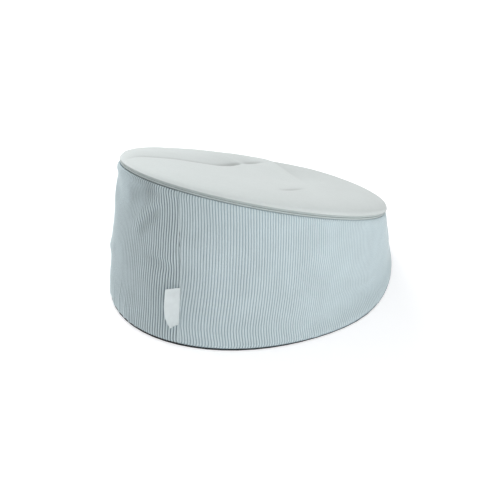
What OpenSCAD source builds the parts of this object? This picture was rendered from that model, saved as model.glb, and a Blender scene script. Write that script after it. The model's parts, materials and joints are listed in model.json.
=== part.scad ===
// Baby beanbag seat: corduroy sides on a non-slip base, with a smooth sloping top
// that is zipped on round the rim, over an inner liner full of beads.
// Millimetres, +Z up, front towards -Y. The origin is on the floor under the middle of the base.
// Angles round the seat are measured from the back (+Y) towards the left side (+X).

/* [Base] */
// Width of the base oval, side to side
base_w = 502; // [460:2:540]
// Depth of the base oval, front to back
base_d = 596; // [560:2:640]
// Thickness of the non-slip base panel
base_t = 3; // [2:0.5:5]

/* [Side panels] */
// How far the sides swell out between the base and the rim
swell = 4; // [1:0.5:16]
// How low the swelling sits: a smaller power brings it nearer to the floor
swell_power = 0.6; // [0.5:0.05:1]
// Thickness of the corduroy with its backing
side_t = 1.6; // [1:0.1:2.4]
// How far the foot of each seam is turned round from its top, in degrees
seam_turn = 8.6; // [0:0.2:14]

/* [Rim] */
// Radius of the round rim
rim_r = 249; // [236:1:260]
// Slope of the rim, rising to the back, in degrees
rim_tilt = 20; // [14:0.5:22]
// Height of the middle of the rim above the floor
rim_z = 186; // [170:2:210]
// Middle of the rim behind (+) or before (-) the middle of the base
rim_y = -2; // [-20:1:20]

/* [Top panel] */
// Rise of the plump top above the zip band
top_rise = 18; // [12:1:30]
// How square the top's edge is: a higher power keeps the plump height nearer the rim
top_power = 8; // [4:1:12]
// Thickness of the top panel
top_t = 1.4; // [1:0.1:2]
// Depth of the hollow where the child sits
hollow_depth = 9; // [0:1:12]
// Reach of the hollow from its middle
hollow_reach = 95; // [60:5:130]
// Middle of the hollow, before (-) the middle of the rim, along the slope
hollow_y = -45; // [-80:5:0]
// Depth of the long fold beside the hollow
fold_depth = 6; // [0:0.5:8]
// Half width of the long fold
fold_w = 16; // [10:1:30]
// Distance of the fold from the middle line at the front
fold_front = 98; // [80:2:130]
// Distance of the fold from the middle line at the back
fold_back = 172; // [140:2:190]

/* [Rim zip] */
// Height of the zip band that shows between the sides and the top
band_h = 9; // [8:0.5:11]
// Width of the parting groove between the two tapes
groove_w = 1; // [0.8:0.1:1.4]
// Thickness of the zip tape
tape_t = 1; // [0.6:0.1:1.2]
// Length of tape that is hidden behind the sides and the top
tape_hidden = 4; // [3:0.5:5]
// Width of each half of the coil
coil_w = 2.1; // [1.6:0.1:2.4]
// Thickness of the coil
coil_t = 2.1; // [1.6:0.1:2.4]
// Angle round the rim without zip, where the top stays sewn on at the front
bridge_angle = 10; // [6:1:30]
// Length of each end stop along the coil
stop_len = 3; // [2:0.5:4]

/* [Rim slider and pull] */
// Length of the slider along the zip
slider_len = 9; // [7:0.5:12]
// Width of the slider across the zip
slider_w = 6.4; // [5:0.2:7]
// Thickness of the slider's two plates
slider_t = 1.2; // [0.8:0.1:1.4]
// Thickness of the slider's neck in the parting groove
neck_t = 0.5; // [0.4:0.1:0.5]
// Height of the opening under the slider's bow
bow_gap = 1.8; // [1.6:0.1:2.4]
// Thickness of the slider's bow
bow_t = 0.8; // [0.6:0.1:1.2]
// Width of the slider's bow
bow_w = 1.6; // [1.2:0.1:2]
// Length of the pull tab
pull_len = 18; // [12:1:26]
// Width of the pull tab
pull_w = 5; // [4.4:0.2:7]
// Thickness of the pull tab
pull_t = 1; // [0.8:0.1:1.2]

/* [Side tag] */
// Width of the blank fabric tag, out from the seam
tag_w = 31; // [20:1:40]
// Height of the tag along the seam
tag_h = 72; // [50:1:80]
// Thickness of the tag
tag_t = 0.6; // [0.4:0.1:1]
// Height of the middle of the tag above the floor
tag_z = 76; // [60:1:100]
// Angle by which the tag stands away from the side, in degrees
tag_open = 50; // [6:1:80]

/* [Liner and beads] */
// Thickness of the liner fabric
liner_t = 0.8; // [0.5:0.1:1.2]
// Distance of the liner's head inside the rim, behind the zip
liner_in = 9; // [8:0.5:14]
// Length of the liner's zip, side to side
liner_zip_len = 380; // [280:10:400]
// Width of each liner zip tape
liner_tape_w = 12; // [10:1:14]
// Length of the liner's slider, which has no pull
liner_slider_len = 10; // [8:1:14]
// Width of the liner's slider
liner_slider_w = 7; // [6:0.5:9]

/* [Clearances] */
// Clearance between fabric layers that lie against each other
layer_gap = 0.4; // [0.3:0.05:0.6]
// Clearance between edges that are sewn together
sewn_gap = 0.2; // [0.15:0.05:0.3]
// Clearance round the sliding parts
slide_gap = 0.4; // [0.3:0.05:0.5]
// Clearance between the beads and the liner's side
bead_gap = 1.6; // [1.6:0.1:3]

/* [Hidden] */

corduroy_colour = [0.70, 0.77, 0.78];
top_colour = [0.83, 0.86, 0.85];
band_colour = [0.62, 0.68, 0.67];
base_colour = [0.16, 0.17, 0.18];
tag_colour = [0.86, 0.91, 0.90];
metal_colour = [0.66, 0.70, 0.70];
liner_colour = [0.93, 0.93, 0.91];
bead_colour = [0.97, 0.97, 0.97];

// Steps round half of the seat, the same for every layer, so that none cuts into the next
side_steps = 30;
all_steps = 2 * side_steps;
// Levels up the sides, closer together near the floor
levels = [0, 0.02, 0.06, 0.13, 0.23, 0.36, 0.52, 0.7, 0.86, 1];
// Rings of the top from its middle to its edge, closer together near the edge
top_rings = [0.2, 0.4, 0.56, 0.7, 0.81, 0.89, 0.945, 0.98, 1];
inner_rings = [0.3, 0.6, 0.82, 0.95, 1];

// Layers on the floor, from the outside in
side_foot = base_t + sewn_gap;
liner_slider_t = 1;
liner_tape_t = 0.8;
liner_coil_t = 2;
liner_coil_w = 2;
liner_base_t = 1.2;
liner_foot = base_t + slide_gap + liner_slider_t + slide_gap;
liner_coil_z = liner_foot + liner_tape_t + sewn_gap;
liner_plate_z = liner_coil_z + liner_coil_t + slide_gap;
fill_foot = liner_foot + liner_base_t + layer_gap;
channel_top = liner_plate_z + liner_slider_t + slide_gap;
liner_slot_w = 2 * liner_tape_w + groove_w;

// How much the front leans in for each millimetre of height, and so how much further in
// the liner's foot lies, which is higher than the side panels' foot
front_lean = max(0, base_d / 2 + rim_y - rim_r * cos(rim_tilt)) / (rim_z - rim_r * sin(rim_tilt) - side_foot);
liner_foot_in = front_lean * (liner_foot - side_foot);

// Levels above and below the rim's plane
half_band = band_h / 2;
band_edge = half_band - sewn_gap;
hem_rise = 0.7 * tape_hidden;
liner_head = -(band_edge + hem_rise + 3 * layer_gap);
coil_r = rim_r - tape_t - sewn_gap;
inner_plate_r = coil_r - coil_t - slide_gap;
bow_r = rim_r + slide_gap + slider_t;
pull_pin_r = pull_t / 2;
pull_pin_out = bow_r + bow_gap / 2;

// The liner's top lies under the fold's bottom, which only the top panel follows
liner_depth = top_t + fold_depth + 2 * layer_gap;

// Angles along the zip: tapes, coil and stops end short of the front bridge
stop_angle = stop_len / rim_r * 180 / PI;
tape_reach = 180 - bridge_angle / 2;
coil_reach = tape_reach - 2 * stop_angle;
slider_rest = coil_reach - (slider_len / 2 + slide_gap) / rim_r * 180 / PI;

// Facets of round shapes
$fn = 180;

function mix(a, b, t) = a + (b - a) * t;
function unit(v) = v / norm(v);
function flat(lists) = [for (list = lists) for (item = list) item];
function smooth(t) = let (c = min(1, max(0, t))) c * c * (3 - 2 * c);

// A point given across, up the slope and off the rim's plane, as a point of the seat
function on_rim(p) = [
    p[0],
    rim_y + p[1] * cos(rim_tilt) - p[2] * sin(rim_tilt),
    rim_z + p[1] * sin(rim_tilt) + p[2] * cos(rim_tilt)
];

// A point of the sides: angle, level from 0 at the foot to 1 at the head, distance in
// from the outer face, and the heights of the foot and of the head
function side_point(angle, level, inset, foot, head) =
    let (
        low = [(base_w / 2 - inset) * sin(angle), (base_d / 2 - inset) * cos(angle), foot],
        high = on_rim([(rim_r - inset) * sin(angle), (rim_r - inset) * cos(angle), head]),
        out = swell * sin(180 * pow(level, swell_power))
    )
    mix(low, high, level) + out * [sin(angle), cos(angle), 0];

// The seams wind round slightly from head to foot, most of it near the head
function seam_shift(level) = -seam_turn * cos(90 * level);

// Height of the top above the rim's plane, for a layer that lies the given depth inside
// and follows the long fold down to the given depth
function top_height(x, y, radius, edge, depth, fold_down) =
    let (
        reach = min(1, norm([x, y]) / radius),
        full = sqrt(1 - pow(reach, top_power)),
        off = norm([x, y - hollow_y]) / hollow_reach,
        hollow = hollow_depth * exp(-off * off),
        line = mix(fold_front, fold_back, smooth((y + rim_r / 25) / (rim_r / 2.2))),
        away = (x - line) / fold_w,
        fold = fold_down * exp(-away * away)
    )
    edge + (half_band + top_rise - depth - edge) * full - (hollow + fold) * full * full;

// Triangles between two rows of points, each row starting at the index given
function strip(first, second, count) = flat([
    for (i = [0 : count - 2]) [[first + i, second + i, second + i + 1], [first + i, second + i + 1, first + i + 1]]
]);
function flipped(faces) = [for (face = faces) [face[2], face[1], face[0]]];

// Triangles between two rows that each close on themselves
function loop_strip(first, second, count) = flat([
    for (i = [0 : count - 1]) let (j = (i + 1) % count)
        [[first + i, second + i, second + j], [first + i, second + j, first + j]]
]);

// One side panel: a curved sheet between the two seams, with an outer and an inner face
module side_sheet(start, stop) {
    edge = sewn_gap / 2 / rim_r * 180 / PI;
    angles = [for (i = [0 : side_steps]) mix(start + edge, stop - edge, i / side_steps)];
    count = side_steps + 1;
    rows = len(levels);
    outer = flat([for (level = levels) [
        for (angle = angles) side_point(angle + seam_shift(level), level, 0, side_foot, -half_band)]]);
    inner = flat([for (level = levels) [
        for (angle = angles) side_point(angle + seam_shift(level), level, side_t, side_foot, -half_band)]]);
    inside = rows * count;
    outer_faces = flat([for (r = [0 : rows - 2]) strip(r * count, (r + 1) * count, count)]);
    inner_faces = flipped(flat([
        for (r = [0 : rows - 2]) strip(inside + r * count, inside + (r + 1) * count, count)]));
    foot_faces = strip(inside, 0, count);
    head_faces = strip((rows - 1) * count, inside + (rows - 1) * count, count);
    start_faces = flat([for (r = [0 : rows - 2]) let (a = r * count, b = (r + 1) * count)
        [[a, inside + a, inside + b], [a, inside + b, b]]]);
    stop_faces = flat([for (r = [0 : rows - 2]) let (a = r * count + side_steps, b = (r + 1) * count + side_steps)
        [[a, inside + b, inside + a], [a, b, inside + b]]]);
    polyhedron(
        points = concat(outer, inner),
        faces = concat(outer_faces, inner_faces, foot_faces, head_faces, start_faces, stop_faces),
        convexity = 4);
}

// A dome over the rim made of two faces that close at its edge
module top_sheet(radius, edge, depth, thick, rings, fold_down) {
    steps = all_steps;
    count = len(rings);
    function ring_points(r, less) = [
        for (ring = rings) for (i = [0 : steps - 1])
            let (x = r * ring * sin(i * 360 / steps), y = r * ring * cos(i * 360 / steps))
            on_rim([x, y, top_height(x, y, r, edge, less, fold_down)])];
    outer = ring_points(radius, depth);
    inner = ring_points(radius - thick, depth + thick);
    tip = 2 * count * steps;
    points = concat(outer, inner, [
        on_rim([0, 0, top_height(0, 0, radius, edge, depth, fold_down)]),
        on_rim([0, 0, top_height(0, 0, radius, edge, depth + thick, fold_down)])]);
    inside = count * steps;
    outer_cap = [for (i = [0 : steps - 1]) [tip, (i + 1) % steps, i]];
    inner_cap = [for (i = [0 : steps - 1]) [tip + 1, inside + i, inside + (i + 1) % steps]];
    outer_faces = flat([for (r = [0 : count - 2]) loop_strip((r + 1) * steps, r * steps, steps)]);
    inner_faces = flipped(flat([
        for (r = [0 : count - 2]) loop_strip(inside + (r + 1) * steps, inside + r * steps, steps)]));
    edge_faces = loop_strip(inside + (count - 1) * steps, (count - 1) * steps, steps);
    polyhedron(
        points = points,
        faces = concat(outer_cap, inner_cap, outer_faces, inner_faces, edge_faces),
        convexity = 4);
}

// How far the inner layers lie in from the outer face: close to the sides low down,
// and further in near the rim, behind the zip
function liner_inset(level) =
    mix(side_t + layer_gap, liner_in, pow(level, 4)) + liner_foot_in * (1 - level);
function inner_row(level, extra, foot, head) = [
    for (i = [0 : all_steps - 1])
        side_point(i * 360 / all_steps + seam_shift(level), level, liner_inset(level) + extra, foot, head)];

// An oval outline inside the foot of the sides, with its corners under theirs
function oval(inset) = [
    for (i = [0 : all_steps - 1]) let (angle = i * 360 / all_steps + seam_shift(0))
        [(base_w / 2 - inset) * sin(angle), (base_d / 2 - inset) * cos(angle)]];

// Places what is drawn flat, with its axis up, on the rim's plane
module at_rim() {
    translate([0, rim_y, rim_z]) rotate([rim_tilt, 0, 0]) children();
}

// Turns what is drawn at the back of the rim by an angle round it
module round_rim(angle) {
    at_rim() rotate([0, 0, -angle]) children();
}

// Sweeps a profile of [radius, height] points along the zip, between two angles each side of the back
module along_rim(reach, profile) {
    at_rim() rotate([0, 0, 90 - reach]) rotate_extrude(angle = 2 * reach) polygon(profile);
}

// One zip tape: the strip that shows, and a hem that slopes in behind the fabric. side is 1 above, -1 below
function tape_profile(side) = let (
        back = side_t + 2 * layer_gap,
        tip = back + 0.7 * tape_hidden
    ) [
        [rim_r, side * groove_w / 2],
        [rim_r, side * band_edge],
        [rim_r - back, side * band_edge],
        [rim_r - tip, side * (band_edge + hem_rise)],
        [rim_r - tip - tape_t, side * (band_edge + hem_rise - tape_t)],
        [rim_r - back - tape_t / 2, side * (band_edge - tape_t)],
        [rim_r - tape_t, side * (band_edge - tape_t)],
        [rim_r - tape_t, side * groove_w / 2]
    ];

function coil_profile(side) = [
    [coil_r, side * groove_w / 2],
    [coil_r, side * (groove_w / 2 + coil_w)],
    [coil_r - coil_t, side * (groove_w / 2 + coil_w)],
    [coil_r - coil_t, side * groove_w / 2]
];

module side_panel_left() {
    color(corduroy_colour) side_sheet(0, 180);
}

module side_panel_right() {
    color(corduroy_colour) side_sheet(180, 360);
}

module top_panel() {
    color(top_colour) top_sheet(rim_r, half_band, 0, top_t, top_rings, fold_depth);
}

module base_panel() {
    color(base_colour) linear_extrude(base_t) polygon(oval(0));
}

// The strip that joins the top to the sides where the zip leaves off
module front_bridge() {
    gap_angle = 2 * sewn_gap / rim_r * 180 / PI;
    reach = bridge_angle / 2 - gap_angle;
    color(top_colour)
        at_rim() rotate([0, 0, -90 - reach]) rotate_extrude(angle = 2 * reach) polygon([
            [rim_r, -band_edge],
            [rim_r, band_edge],
            [rim_r - tape_t, band_edge],
            [rim_r - tape_t, -band_edge]
        ]);
}

module rim_zip_tape_lower() {
    color(band_colour) along_rim(tape_reach, tape_profile(-1));
}

module rim_zip_tape_upper() {
    color(band_colour) along_rim(tape_reach, tape_profile(1));
}

module rim_zip_coil_lower() {
    color(band_colour) along_rim(coil_reach, coil_profile(-1));
}

module rim_zip_coil_upper() {
    color(band_colour) along_rim(coil_reach, coil_profile(1));
}

// A metal clip across both halves of the coil at each end of the zip
module rim_zip_stops() {
    color(metal_colour)
        for (side = [-1, 1])
            round_rim(side * (coil_reach + stop_angle / 2 + sewn_gap / rim_r * 180 / PI))
                translate([0, coil_r - coil_t / 2, 0])
                    cube([stop_len, coil_t, 2 * coil_w + groove_w], center = true);
}

// Two plates joined by a neck through the groove, and a bow that holds the pull
module rim_zip_slider() {
    outer_r = rim_r + slide_gap;
    bow_len = slider_len - 1;
    color(metal_colour)
        round_rim(slider_rest) {
            translate([-slider_len / 2, outer_r, -slider_w / 2]) cube([slider_len, slider_t, slider_w]);
            translate([-slider_len / 2, inner_plate_r - slider_t, -slider_w / 2])
                cube([slider_len, slider_t, slider_w]);
            translate([-slider_len / 4, inner_plate_r - slider_t / 2, -neck_t / 2])
                cube([slider_len / 2, outer_r - inner_plate_r + slider_t, neck_t]);
            for (side = [-1, 1])
                translate([side * (bow_len - bow_t) / 2, bow_r + bow_gap / 2, 0])
                    cube([bow_t, bow_gap + bow_t, bow_w], center = true);
            translate([0, bow_r + bow_gap + bow_t / 2, 0]) cube([bow_len, bow_t, bow_w], center = true);
        }
}

// A flat tab with a window: its cross pin lies under the slider's bow
module rim_zip_pull() {
    window_w = bow_w + 2 * slide_gap;
    window_len = slider_len / 2 + 1.6;
    arm_w = (pull_w - window_w) / 2;
    color(metal_colour)
        round_rim(slider_rest) translate([0, pull_pin_out, 0]) {
            translate([0, 0, -pull_w / 2]) cylinder(h = pull_w, r = pull_pin_r);
            for (side = [-1, 1])
                translate([0, -pull_t / 2, side * (pull_w - arm_w) / 2 - arm_w / 2])
                    cube([window_len, pull_t, arm_w]);
            translate([window_len - 0.5, -pull_t / 2, -pull_w / 2])
                cube([pull_len - window_len, pull_t, pull_w]);
        }
}

// The tag's sewn edge lies along a straight line just outside the back seam
function seam_point(height) = let (
        head = on_rim([0, rim_r, -half_band])[2],
        level = (height - side_foot) / (head - side_foot)
    ) side_point(seam_shift(level), level, 0, side_foot, -half_band);
tag_low = seam_point(tag_z - tag_h / 2);
tag_high = seam_point(tag_z + tag_h / 2);
tag_mid = seam_point(tag_z);
tag_chord = (tag_low + tag_high) / 2;
tag_out = norm([tag_mid[0] - tag_chord[0], tag_mid[1] - tag_chord[1]]) + sewn_gap + tag_t / 2;
tag_turn = -seam_shift((tag_z - side_foot) / (on_rim([0, rim_r, 0])[2] - side_foot));
tag_yaw = atan(tan(tag_turn) * base_d / base_w);
tag_hinge = tag_chord + tag_out * [-sin(tag_yaw), cos(tag_yaw), 0];
tag_axis = unit(tag_high - tag_low);

module side_tag() {
    lean_y = atan2(tag_axis[0], tag_axis[2]);
    lean_x = -atan2(tag_axis[1], norm([tag_axis[0], tag_axis[2]]));
    color(tag_colour)
        translate(tag_hinge) rotate([0, lean_y, 0]) rotate([lean_x, 0, 0]) rotate([0, 0, tag_yaw + tag_open])
            translate([0, -tag_t / 2, -tag_h / 2]) cube([tag_w, tag_t, tag_h]);
}

// The liner's side: a tube of fabric inside the side panels
module liner_side() {
    rows = len(levels);
    outer = flat([for (level = levels) inner_row(level, 0, liner_foot, liner_head)]);
    inner = flat([for (level = levels) inner_row(level, liner_t, liner_foot, liner_head)]);
    inside = rows * all_steps;
    color(liner_colour) polyhedron(
        points = concat(outer, inner),
        faces = concat(
            flat([for (r = [0 : rows - 2]) loop_strip(r * all_steps, (r + 1) * all_steps, all_steps)]),
            flipped(flat([for (r = [0 : rows - 2])
                loop_strip(inside + r * all_steps, inside + (r + 1) * all_steps, all_steps)])),
            loop_strip(inside, 0, all_steps),
            loop_strip((rows - 1) * all_steps, inside + (rows - 1) * all_steps, all_steps)),
        convexity = 4);
}

module liner_top() {
    color(liner_colour)
        top_sheet(rim_r - liner_in, liner_head + sewn_gap, liner_depth, liner_t, inner_rings, 0);
}

// One half of the liner's base: front (-1) or rear (1) of the zip
module liner_base_half(side) {
    inset = liner_inset(0) + liner_t + sewn_gap + front_lean * liner_base_t;
    color(liner_colour)
        translate([0, 0, liner_foot]) difference() {
            linear_extrude(liner_base_t) polygon(oval(inset));
            translate([-base_w, side > 0 ? -base_d : 0, -1]) cube([2 * base_w, base_d, liner_base_t + 2]);
            translate([-liner_zip_len / 2 - sewn_gap, -liner_slot_w / 2 - sewn_gap, -1])
                cube([liner_zip_len + 2 * sewn_gap, liner_slot_w + 2 * sewn_gap, liner_base_t + 2]);
        }
}

module liner_base_front() {
    translate([0, -sewn_gap / 2, 0]) liner_base_half(-1);
}

module liner_base_rear() {
    translate([0, sewn_gap / 2, 0]) liner_base_half(1);
}

module liner_tape(side) {
    color(liner_colour)
        translate([0, side * (groove_w + liner_tape_w) / 2, liner_foot + liner_tape_t / 2])
            cube([liner_zip_len, liner_tape_w, liner_tape_t], center = true);
}

module liner_zip_tape_front() {
    liner_tape(-1);
}

module liner_zip_tape_rear() {
    liner_tape(1);
}

liner_coil_len = liner_zip_len - 4 * stop_len;
module liner_zip_coils() {
    color(liner_colour)
        for (side = [-1, 1])
            translate([0, side * (groove_w + liner_coil_w) / 2, liner_coil_z + liner_coil_t / 2])
                cube([liner_coil_len, liner_coil_w, liner_coil_t], center = true);
}

module liner_zip_stops() {
    color(metal_colour)
        for (side = [-1, 1])
            translate([side * (liner_coil_len / 2 + sewn_gap + stop_len / 2), 0, liner_coil_z + liner_coil_t / 2])
                cube([stop_len, 2 * liner_coil_w + groove_w, liner_coil_t], center = true);
}

// A child-safe slider: two plates and a neck, with nothing to pull it by
liner_slider_rest = liner_coil_len / 2 - liner_slider_len / 2 - slide_gap;
module liner_zip_slider() {
    low = base_t + slide_gap;
    color(metal_colour)
        translate([-liner_slider_rest, 0, 0]) {
            translate([-liner_slider_len / 2, -liner_slider_w / 2, low])
                cube([liner_slider_len, liner_slider_w, liner_slider_t]);
            translate([-liner_slider_len / 2, -liner_slider_w / 2, liner_plate_z])
                cube([liner_slider_len, liner_slider_w, liner_slider_t]);
            translate([-liner_slider_len / 4, -neck_t / 2, low + liner_slider_t / 2])
                cube([liner_slider_len / 2, neck_t, liner_plate_z - low]);
        }
}

// The beads as one solid that fills the liner, with a channel over the liner's zip
module bead_fill() {
    extra = liner_t + bead_gap;
    radius = rim_r - liner_in - extra;
    head = liner_head + sewn_gap;
    depth = liner_depth + liner_t + layer_gap;
    rings = len(inner_rings);
    side_rows = flat([for (level = levels) inner_row(level, extra, fill_foot, head)]);
    top_rows = flat([for (r = [rings - 2 : -1 : 0]) [for (i = [0 : all_steps - 1])
        let (
            x = radius * inner_rings[r] * sin(i * 360 / all_steps),
            y = radius * inner_rings[r] * cos(i * 360 / all_steps)
        )
        on_rim([x, y, top_height(x, y, radius, head, depth, 0)])]]);
    rows = len(levels) + rings - 1;
    tip = rows * all_steps;
    points = concat(side_rows, top_rows, [
        on_rim([0, 0, top_height(0, 0, radius, head, depth, 0)]), [0, 0, fill_foot]]);
    faces = concat(
        flat([for (r = [0 : rows - 2]) loop_strip(r * all_steps, (r + 1) * all_steps, all_steps)]),
        [for (i = [0 : all_steps - 1]) [tip, (i + 1) % all_steps + tip - all_steps, i + tip - all_steps]],
        [for (i = [0 : all_steps - 1]) [tip + 1, i, (i + 1) % all_steps]]);
    color(bead_colour)
        difference() {
            polyhedron(points = points, faces = faces, convexity = 4);
            translate([-liner_zip_len / 2, -liner_slider_w / 2 - slide_gap, 0])
                cube([liner_zip_len, liner_slider_w + 2 * slide_gap, channel_top]);
        }
}

side_panel_left();
side_panel_right();
top_panel();
base_panel();
front_bridge();
rim_zip_tape_lower();
rim_zip_tape_upper();
rim_zip_coil_lower();
rim_zip_coil_upper();
rim_zip_stops();
rim_zip_slider();
rim_zip_pull();
side_tag();
liner_side();
liner_top();
liner_base_front();
liner_base_rear();
liner_zip_tape_front();
liner_zip_tape_rear();
liner_zip_coils();
liner_zip_stops();
liner_zip_slider();
bead_fill();
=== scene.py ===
import json
import math
from types import SimpleNamespace

import bmesh
import bpy
import numpy as np
from bpy.props import FloatProperty, FloatVectorProperty, IntProperty, PointerProperty, StringProperty
from mathutils import Matrix, Vector


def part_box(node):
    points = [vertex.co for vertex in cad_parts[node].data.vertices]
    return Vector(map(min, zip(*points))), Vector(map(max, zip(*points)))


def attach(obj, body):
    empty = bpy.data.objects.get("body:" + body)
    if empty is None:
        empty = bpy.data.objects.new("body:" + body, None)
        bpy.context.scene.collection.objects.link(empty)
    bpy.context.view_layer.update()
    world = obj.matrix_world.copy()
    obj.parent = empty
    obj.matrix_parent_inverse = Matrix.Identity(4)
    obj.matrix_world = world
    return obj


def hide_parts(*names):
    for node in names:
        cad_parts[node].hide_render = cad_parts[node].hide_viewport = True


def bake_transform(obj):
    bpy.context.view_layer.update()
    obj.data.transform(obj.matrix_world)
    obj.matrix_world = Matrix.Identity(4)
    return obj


bl_info = {
    "name": "Baby beanbag seat",
    "version": (1, 0, 0),
    "blender": (4, 5, 0),
    "location": "3D View > Sidebar > Beanbag",
    "description": "Dresses the packed beanbag in corduroy, a smooth zipped-on top and a studio floor",
    "category": "Object",
}

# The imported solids: the fixed frame that every piece is made round
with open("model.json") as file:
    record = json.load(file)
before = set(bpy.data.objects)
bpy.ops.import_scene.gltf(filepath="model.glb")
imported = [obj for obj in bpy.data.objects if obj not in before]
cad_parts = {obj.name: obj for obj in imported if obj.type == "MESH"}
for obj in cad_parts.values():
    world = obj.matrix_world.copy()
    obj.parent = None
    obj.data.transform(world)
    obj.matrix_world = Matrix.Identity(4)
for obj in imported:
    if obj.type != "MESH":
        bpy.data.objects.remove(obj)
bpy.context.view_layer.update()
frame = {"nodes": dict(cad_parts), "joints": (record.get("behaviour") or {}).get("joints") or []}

mm = 0.001
# Points closer together than this become one
SAME_POINT = 1e-6
# The body that all the cloth rides on
RIM = "beanbag"
BASE_LOW, BASE_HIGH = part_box("base_panel")
TAPE_LOW, TAPE_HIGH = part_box("rim_zip_tape_lower")


def length(name, description, default, low=0.0, high=1.0):
    """A size in metres, as the panel shows it."""
    return FloatProperty(name=name, description=description, default=default, min=low, max=high,
                         precision=4, subtype="DISTANCE", unit="LENGTH")


def share(name, description, default, low=0.0, high=1.0):
    """A plain number, such as a share or a power."""
    return FloatProperty(name=name, description=description, default=default, min=low, max=high)


def turn(name, description, degrees):
    """An angle, given in degrees."""
    return FloatProperty(name=name, description=description, default=math.radians(degrees),
                         subtype="ANGLE", unit="ROTATION")


def bends(name, description, degrees):
    """An angle that changes down the tag: its terms in degrees, as tag_turn takes them."""
    return FloatVectorProperty(name=name, description=description, default=degrees)


def dye(name, description, default):
    """A colour as an sRGB hex value."""
    return StringProperty(name=name, description=description, default=default)


class BeanbagBody(bpy.types.PropertyGroup):
    """The shape of the whole seat, as the solids have it."""
    base_width: length("Base width", "Width of the base oval, side to side", 0.502)
    base_depth: length("Base depth", "Depth of the base oval, front to back", 0.596)
    base_thick: length("Base thickness", "Thickness of the base panel", round(BASE_HIGH.z - BASE_LOW.z, 5))
    swell: length("Swell", "How far the sides swell out between the base and the rim", 0.004)
    swell_power: share("Swell power", "A smaller power brings the swelling nearer to the floor", 0.6)
    seam_turn: turn("Seam turn", "How far the foot of each seam is turned round from its top", 8.6)
    rim_radius: length("Rim radius", "Radius of the round rim", round((TAPE_HIGH.x - TAPE_LOW.x) / 2, 4))
    rim_tilt: turn("Rim tilt", "Slope of the rim, rising to the back", 20)
    rim_height: length("Rim height", "Height of the middle of the rim above the floor", 0.186)
    rim_shift: length("Rim shift", "Middle of the rim behind the middle of the base", -0.002, -0.1)
    band_height: length("Band height", "Height of the zip band that shows round the rim", 0.009)
    seam_width: length("Seam width", "Clearance between edges that are sewn together", 0.0002)


class CorduroyLook(bpy.types.PropertyGroup):
    """The ribbed cloth of the sides."""
    rib_pitch: length("Rib pitch", "Distance from one rib to the next", 0.0056)
    rib_height: length("Rib height", "Height of the ribs above their valleys", 0.0016)
    rib_drop: length("Rib drop", "How far round the wall a right panel's rib lies off at its foot", 0.075)
    rib_curve: length("Rib curve", "How much more it lies off because it curves near the foot", 0.017)
    rib_lean: length("Rib lean", "How far a rib of the left panel leans to the front at its foot", 0.025)
    rib_far: length("Rib far end", "How far the left panel's ribs lie off at the front seam", 0.081)
    closeness: share("Closeness", "How much closer the right panel's ribs lie away from the seam", 0.22)
    thickness: length("Thickness", "Thickness of the cloth with its backing", 0.0011)
    columns: IntProperty(name="Columns", description="Columns of faces in each rib", default=6, min=4, max=8)
    ridge_colour: dye("Ridge colour", "Colour of the pile on the ribs", "#C6D3D6")
    sheen_colour: dye("Sheen colour", "Colour of the light that grazes the pile", "#E8F0F2")
    slope_colour: dye("Slope colour", "Colour of the pile on the sides of the ribs", "#A6B7BD")
    # The valley colour is partly the ground's own colour and partly painted shade in the valleys
    valley_colour_and_shade: dye("Valley colour", "Colour of the ground between the ribs", "#899CA5")


class TopLook(bpy.types.PropertyGroup):
    """The smooth cloth of the top."""
    rise: length("Rise", "Rise of the plump top above the zip band", 0.018)
    edge_power: share("Edge power", "How square the top's edge is", 8, 2, 20)
    hollow_depth: length("Hollow depth", "Depth of the hollow where the child sits", 0.009)
    hollow_reach: length("Hollow reach", "Reach of the hollow from its middle", 0.095)
    hollow_shift: length("Hollow shift", "Middle of the hollow behind the middle of the rim", -0.045, -0.2)
    overhang: length("Overhang", "How far the top's rolled edge hangs over the zip's upper tape", 0.0011)
    thickness: length("Thickness", "Thickness of the cloth", 0.0012)
    colour: dye("Colour", "Colour of the top's cloth", "#D3DAD9")


class ZipLook(bpy.types.PropertyGroup):
    """The zip round the rim."""
    groove: length("Groove", "Width of the parting groove that shows between the two tapes", 0.0005)
    tape_reach: turn("Tape reach", "How far round from the back each tape runs, on either side", 175)
    tape_colour: dye("Tape colour", "Colour of the woven tape", "#B4BFBE")
    coil_colour: dye("Coil colour", "Colour of the nylon coil", "#9AA5A6")
    metal_colour: dye("Metal colour", "Colour of the coated metal", "#A9B3B3")


class TagLook(bpy.types.PropertyGroup):
    """The blank tag in the back seam."""
    width: length("Width", "Width of the tag, out from the seam", 0.0295)
    height: length("Height", "Height of the tag along the seam", 0.067)
    lowered: length("Lowered", "How far the tag's middle lies below the middle of its solid", 0.0035)
    thickness: length("Thickness", "Thickness of the ribbon", 0.00018)
    first_turn: bends("First turn", "How far the ribbon is turned where it leaves the seam", (4, -20, 36))
    curl: bends("Curl", "How much further it has turned at its free edge", (2, -10, 38))
    colour: dye("Colour", "Colour of the satin ribbon", "#CFD7D8")


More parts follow.
